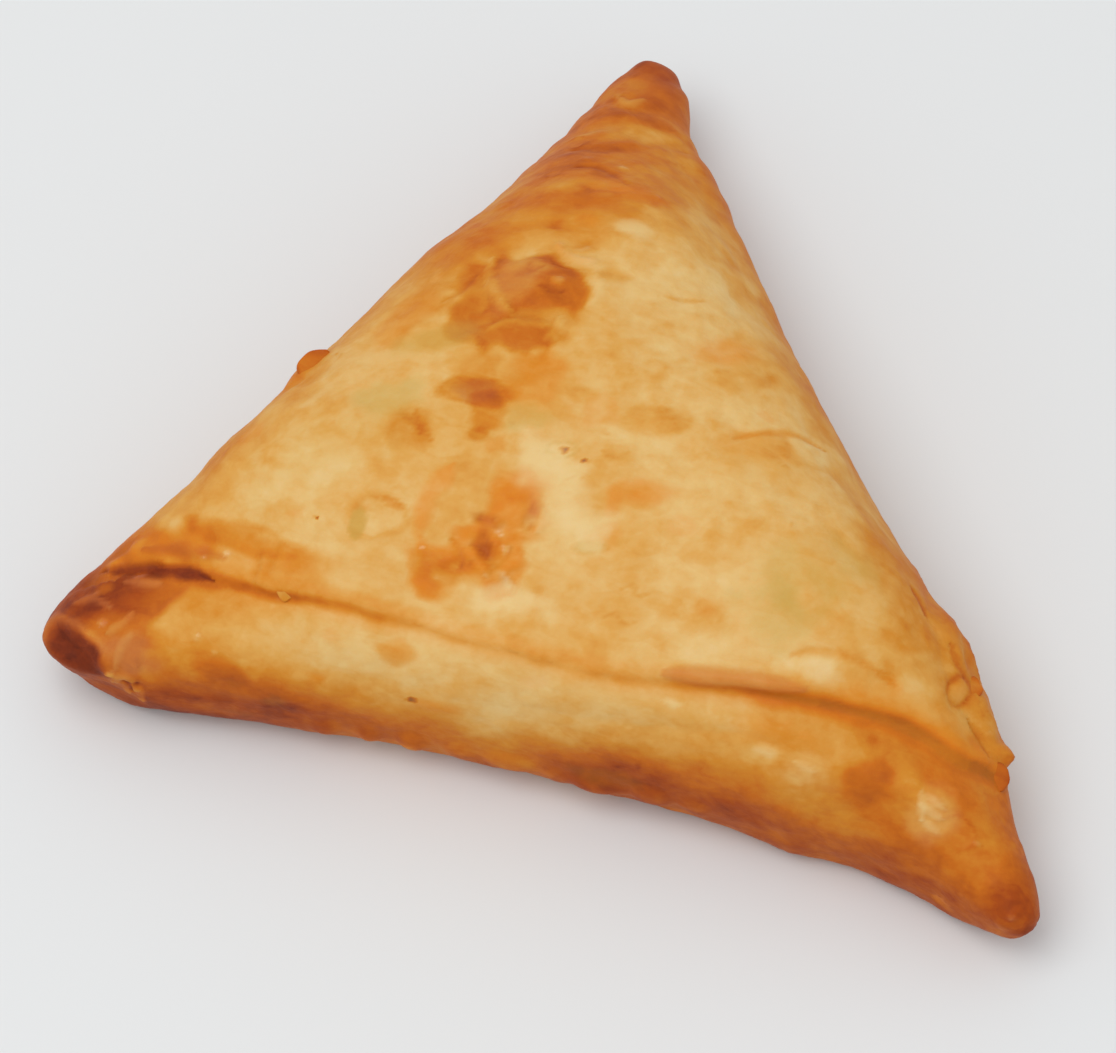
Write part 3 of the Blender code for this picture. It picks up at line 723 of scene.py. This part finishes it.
class Wire:
    """One output of a material's nodes. Arithmetic on it adds Math nodes."""

    def __init__(self, tree, socket=None):
        self.tree, self.socket = tree, socket

    def node(self, kind, settings=None, inputs=None, output=0):
        """Adds a node, sets it, connects its inputs and gives one of its outputs."""
        made = self.tree.nodes.new(kind)
        for name, value in (settings or {}).items():
            if name == "stops":
                ramp = made.color_ramp
                for number, (at, colour) in enumerate(value):
                    stop = ramp.elements[number] if number < 2 else ramp.elements.new(at)
                    stop.position, stop.color = at, (*colour, 1.0)
            else:
                setattr(made, name, value)
        for name, value in (inputs or {}).items():
            if isinstance(value, Wire):
                self.tree.links.new(value.socket, made.inputs[name])
            else:
                made.inputs[name].default_value = value
        return Wire(self.tree, made.outputs[output]) if len(made.outputs) else None

    def math(self, operation, first, second=0.0):
        """A Math node on two values."""
        return self.node("ShaderNodeMath", {"operation": operation}, {0: first, 1: second})

    def __add__(self, other):
        return self.math("ADD", self, other)

    __radd__ = __add__

    def __mul__(self, other):
        return self.math("MULTIPLY", self, other)

    __rmul__ = __mul__

    def __sub__(self, other):
        return self.math("SUBTRACT", self, other)

    def __rsub__(self, other):
        return self.math("SUBTRACT", other, self)


def linear(red, green, blue):
    """A colour given as on a screen, 0 to 255, as the light it stands for."""
    shares = [value / 255 for value in (red, green, blue)]
    return tuple(s / 12.92 if s <= 0.04045 else ((s + 0.055) / 1.055) ** 2.4 for s in shares)


# The pastry's colours by tone, pale to darkest brown; the dark end also serves as painted shade.
PASTRY_TONES = (
    (0.00, (227, 196, 140)),
    (0.18, (222, 182, 114)),
    (0.35, (215, 158, 76)),
    (0.50, (206, 133, 40)),
    (0.65, (194, 103, 20)),
    (0.80, (164, 72, 14)),
    (0.92, (126, 48, 16)),
    (1.00, (92, 32, 12)),
)

fried_pastry = bpy.data.materials.new("fried_pastry")
fried_pastry.use_nodes = True
fried_pastry.node_tree.nodes.clear()
start = Wire(fried_pastry.node_tree)
place = start.node("ShaderNodeTexCoord", output="Object")


def painted(name):
    """A share that the skin's points carry."""
    return start.node("ShaderNodeAttribute", {"attribute_name": name}, output="Fac")


def grained(size, detail=3.0, roughness=0.5, where=place):
    """A noise of blotches of about this size, in mm: 0 to 1, mean a half."""
    inputs = {"Vector": where, "Scale": 1 / (size * MM), "Detail": detail, "Roughness": roughness}
    return start.node("ShaderNodeTexNoise", inputs=inputs)


def mixed(first, second, share):
    """Two colours mixed by a share."""
    inputs = {"Factor": share, 6: first, 7: second}
    return start.node("ShaderNodeMix", {"data_type": "RGBA"}, inputs, output=2)


along_grain = start.node(
    "ShaderNodeMapping",
    {"vector_type": "POINT"},
    {"Vector": place, "Rotation": (0, 0, math.radians(-17)), "Scale": (0.62, 1.0, 1.0)},
)


def stepped(values, low, high):
    """0 below low and 1 above high, with a soft step between them."""
    settings = {"interpolation_type": "SMOOTHSTEP"}
    inputs = {"Value": values, "From Min": low, "From Max": high}
    return start.node("ShaderNodeMapRange", settings, inputs)


patches = grained(4.2, 1.5, 0.5, along_grain)
patches = 0.5 * stepped(patches, 0.44, 0.48) + 0.5 * stepped(patches, 0.54, 0.60)
flecks = grained(1.7, 2.0, 0.5, along_grain)
flecks = 0.5 * stepped(flecks, 0.42, 0.50) + 0.5 * stepped(flecks, 0.56, 0.62)
# The tone is the browning, with the painted shade and highlights in it.
tone = (
    painted("browning_and_shading")
    + 0.07 * (patches - 0.5)
    + 0.05 * (flecks - 0.5)
    + 0.05 * (grained(0.45) - 0.5)
)
stops = [(at, linear(*colour)) for at, colour in PASTRY_TONES]
colour = start.node("ShaderNodeValToRGB", {"stops": stops}, {"Fac": tone})
colour = mixed(colour, (*linear(222, 130, 26), 1), painted("oily") * (0.5 + 0.2 * patches))
colour = mixed(colour, (*linear(196, 156, 72), 1), painted("herby") * 0.9)
# The pale tint is flour, and at the whitish band and the stripes a painted sheen and glints.
colour = mixed(colour, (*linear(228, 200, 142), 1), painted("floury_and_sheen"))
# The scorched tint, which also lays on the painted sheen and pinkish highlights.
colour = mixed(colour, (*linear(166, 74, 44), 1), painted("scorched_and_sheen") * 0.8)
bumps = start.node(
    "ShaderNodeBump",
    inputs={
        "Strength": 0.5,
        "Distance": 0.10 * MM,
        "Height": grained(0.5, 2.0) + 0.6 * grained(1.3, 2.0, 0.5, along_grain),
    },
)
surface_node = start.node(
    "ShaderNodeBsdfPrincipled",
    inputs={
        "Base Color": colour,
        "Roughness": 0.52 + 0.14 * (grained(2.4) - 0.5),
        "Specular IOR Level": 0.12,
        "Coat Weight": 0.04 * painted("oily") + painted("glistening"),
        "Coat Roughness": 0.08,
        "Subsurface Weight": 0.08,
        "Subsurface Radius": (1.0, 0.45, 0.18),
        "Subsurface Scale": 0.0012,
        "Normal": bumps,
    },
)
start.node("ShaderNodeOutputMaterial", inputs={"Surface": surface_node})

skin.materials.clear()
skin.materials.append(fried_pastry)
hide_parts("samosa")
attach(pastry, "root")

# --- The loose flakes --------------------------------------------------------------------------
# Thin scales of the outermost layer of pastry, which lifted in the oil where it was pinched: on the
# left edge and at both ends of the seam. Each is fast to the skin along its root, and curls a little.

FLAKE_THICKNESS = 0.3
FLAKES = (
    # The browned flap on the left edge.
    ((-32.7, -8.2, 19.0), 4.2, 2.2, 58, 0.5, 0.66),
    # A chip at the seam, on the left.
    ((-27.0, -33.6, 18.8), 1.7, 1.1, 185, 0.3, 0.42),
    # At the right end of the seam.
    ((43.2, -27.8, 10.6), 3.4, 2.0, -64, 0.4, 0.70),
    ((38.6, -20.6, 13.6), 2.6, 1.5, -55, 0.35, 0.60),
)

fried_skin = BVHTree.FromPolygons(P.tolist(), faces)
scales = bmesh.new()
tint = scales.verts.layers.float.new("browning_and_shading")
for place, length, width, turn, lift, tone in FLAKES:
    middle, facing, _, _ = fried_skin.find_nearest(Vector(place))
    along = Vector((math.cos(math.radians(turn)), math.sin(math.radians(turn)), 0.0))
    along = (along - facing * along.dot(facing)).normalized()
    outward = facing.cross(along)
    scale = bmesh.ops.create_grid(scales, x_segments=14, y_segments=7, size=0.5)["verts"]
    phase, tilt = rng.uniform(0, 6.3), rng.uniform(-0.3, 0.3)
    for vertex in scale:
        u, w = 2 * vertex.co.x, vertex.co.y + 0.5
        outline = math.sqrt(max(0.0, 1 - 0.96 * u * u)) * (1 + tilt * u + 0.06 * math.sin(4 * u + phase))
        vertex[tint] = tone + 0.08 * w * w + 0.04 * math.sin(3 * u + phase)
        spread = u * length / 2 * (1 - 0.12 * w)
        reach = (w - 0.35) * width * outline
        root = fried_skin.find_nearest(middle + along * spread)[0]
        bent = lift * (w ** 1.6) * (1 + 0.2 * math.sin(3 * u + phase)) - 0.22 * (1 - w) - 0.2 * u * u
        vertex.co = root + outward * reach + facing * bent
flake_mesh = bpy.data.meshes.new("loose_flakes")
scales.to_mesh(flake_mesh)
scales.free()
flakes = bpy.data.objects.new("loose_flakes", flake_mesh)
bpy.context.scene.collection.objects.link(flakes)
thick = flakes.modifiers.new("thick", "SOLIDIFY")
thick.thickness = FLAKE_THICKNESS
thick.offset = 0.0
rounded = flakes.modifiers.new("rounded", "SUBSURF")
rounded.levels = rounded.render_levels = 1
finished(flakes)
scaled = bmesh.new()
scaled.from_mesh(flakes.data)
bmesh.ops.scale(scaled, vec=(MM, MM, MM), verts=scaled.verts)
bmesh.ops.recalc_face_normals(scaled, faces=scaled.faces)
for face in scaled.faces:
    face.smooth = True
scaled.to_mesh(flakes.data)
scaled.free()
flakes.data.materials.clear()
flakes.data.materials.append(fried_pastry)
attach(flakes, "root")

# --- The floor, the light and the camera ---------------------------------------------------------
# A plain pale surface, one large soft light high on the left, and a long lens that looks down on
# the samosa from the front right.

FLOOR_SIDE = 3.0
floor_mesh = bpy.data.meshes.new("floor")
floor_shape = bmesh.new()
bmesh.ops.create_grid(floor_shape, x_segments=1, y_segments=1, size=FLOOR_SIDE / 2)
floor_shape.to_mesh(floor_mesh)
floor_shape.free()
floor = bpy.data.objects.new("floor", floor_mesh)
bpy.context.scene.collection.objects.link(floor)
floor_finish = bpy.data.materials.new("pale_floor")
floor_finish.use_nodes = True
floor_surface = floor_finish.node_tree.nodes["Principled BSDF"]
floor_surface.inputs["Base Color"].default_value = (0.74, 0.75, 0.75, 1)
floor_surface.inputs["Roughness"].default_value = 0.6
floor_mesh.materials.append(floor_finish)

centre = (cad_low + cad_high) / 2

CAMERA_AZIMUTH, CAMERA_ELEVATION, CAMERA_ROLL = 23.4, 59.0, -5.1
CAMERA_DISTANCE, LENS = 0.73, 240.0
AIM = centre + Vector((-5.8, -14.3, -2.0)) * MM


def direction(azimuth, elevation):
    """The way from the samosa to a thing at this azimuth and elevation, in degrees."""
    turn, height = math.radians(azimuth), math.radians(elevation)
    level = math.cos(height)
    return Vector((math.sin(turn) * level, -math.cos(turn) * level, math.sin(height)))


key = bpy.data.lights.new("key", "AREA")
key.shape = "SQUARE"
key.size = 0.7
key.energy = 3.4
key_object = bpy.data.objects.new("key", key)
bpy.context.scene.collection.objects.link(key_object)
key_way = direction(-40, 71)
key_object.location = centre + key_way * 0.95
key_object.rotation_euler = (-key_way).to_track_quat("-Z", "Y").to_euler()

world = bpy.data.worlds.new("studio")
world.use_nodes = True
world.node_tree.nodes["Background"].inputs["Color"].default_value = (0.98, 0.99, 1.0, 1)
world.node_tree.nodes["Background"].inputs["Strength"].default_value = 0.77
bpy.context.scene.world = world

lens = bpy.data.cameras.new("camera")
lens.lens = LENS
lens.sensor_width = 36.0
lens.clip_start, lens.clip_end = 0.01, 10.0
camera = bpy.data.objects.new("camera", lens)
bpy.context.scene.collection.objects.link(camera)
camera_way = direction(CAMERA_AZIMUTH, CAMERA_ELEVATION)
camera.location = AIM + camera_way * CAMERA_DISTANCE
look = (-camera_way).to_track_quat("-Z", "Y").to_matrix()
roll = Matrix.Rotation(math.radians(CAMERA_ROLL), 3, "Z")
camera.rotation_euler = (look @ roll).to_euler()
bpy.context.scene.camera = camera
bpy.context.scene.view_settings.view_transform = "Standard"
